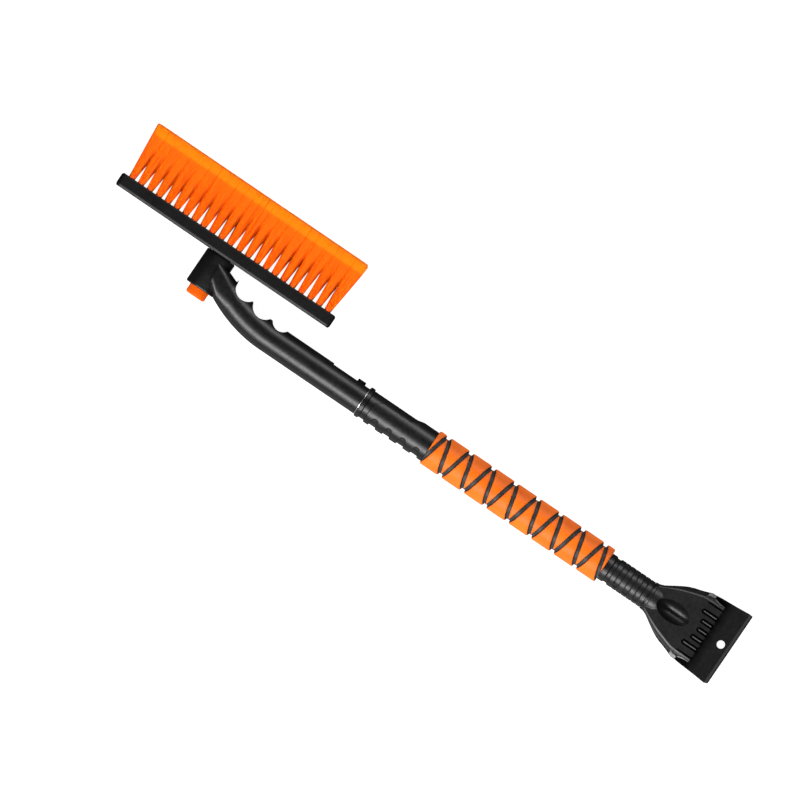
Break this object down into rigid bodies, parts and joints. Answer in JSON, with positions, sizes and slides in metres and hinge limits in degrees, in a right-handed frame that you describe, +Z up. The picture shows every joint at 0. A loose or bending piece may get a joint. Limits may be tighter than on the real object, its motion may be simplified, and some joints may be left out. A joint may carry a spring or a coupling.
{
  "type": "snow brush scraper",
  "caption": "Long-handled snow tool with a swivelling push-button brush head, a cross-grooved foam grip, a pull-apart socket and a flared ice scraper blade.",
  "frame": {"origin": "middle of the tool's outline on the table it lies on", "axes": "+X along the handle from the brush to the scraper blade, +Y the way the bristles point, +Z up from the table, out of the tool's side"},
  "size_m": [0.7, 0.1422, 0.035],
  "materials": {
    "soft_black_plastic": "matte",
    "black_plastic": "satin",
    "orange_plastic": "satin",
    "orange_bristle": "satin",
    "orange_foam": "matte",
    "aluminium": "satin",
    "steel": "satin"
  },
  "bodies": {
    "handle": {"upper_handle": "black_plastic", "button_bush": "black_plastic", "button_spring": "steel", "lock_spring": "steel"},
    "brush_head": {"brush_block": "soft_black_plastic", "bristle_row_1": "orange_bristle", "bristle_row_2": "orange_bristle", "bristle_row_3": "orange_bristle", "bristle_row_4": "orange_bristle", "swivel_stem": "black_plastic", "stem_screw": "steel", "retaining_ring": "steel"},
    "button": {"push_button": "orange_plastic"},
    "lower_half": {"core_tube": "aluminium", "snap_spring": "steel", "collar": "black_plastic", "lower_grip": "black_plastic", "foam_grip": "orange_foam", "scraper_head": "black_plastic", "blade": "black_plastic", "blade_screw_1": "steel", "blade_screw_2": "steel", "neck_screw": "steel"},
    "snap": {"snap_button": "black_plastic"}
  },
  "joints": [
    {"name": "head_swivel", "type": "hinge", "parent": "handle", "child": "brush_head", "pos_m": [-0.233, 0, 0.0175], "axis": [0, 1, 0], "continuous": true, "deforming": ["lock_spring"]},
    {"name": "button_push", "type": "slide", "parent": "handle", "child": "button", "axis": [0, 1, 0], "range_m": [0, 0.004], "stiffness_N_per_m": 600, "springref_m": -0.003, "deforming": ["button_spring", "lock_spring"]},
    {"name": "detach", "type": "slide", "parent": "handle", "child": "lower_half", "axis": [1, 0, 0], "range_m": [0, 0.06], "deforming": ["snap_button"]},
    {"name": "snap_press", "type": "slide", "parent": "lower_half", "child": "snap", "axis": [0, -1, 0], "range_m": [0, 0.0042], "stiffness_N_per_m": 500, "springref_m": -0.003, "deforming": ["snap_spring"]}
  ]
}
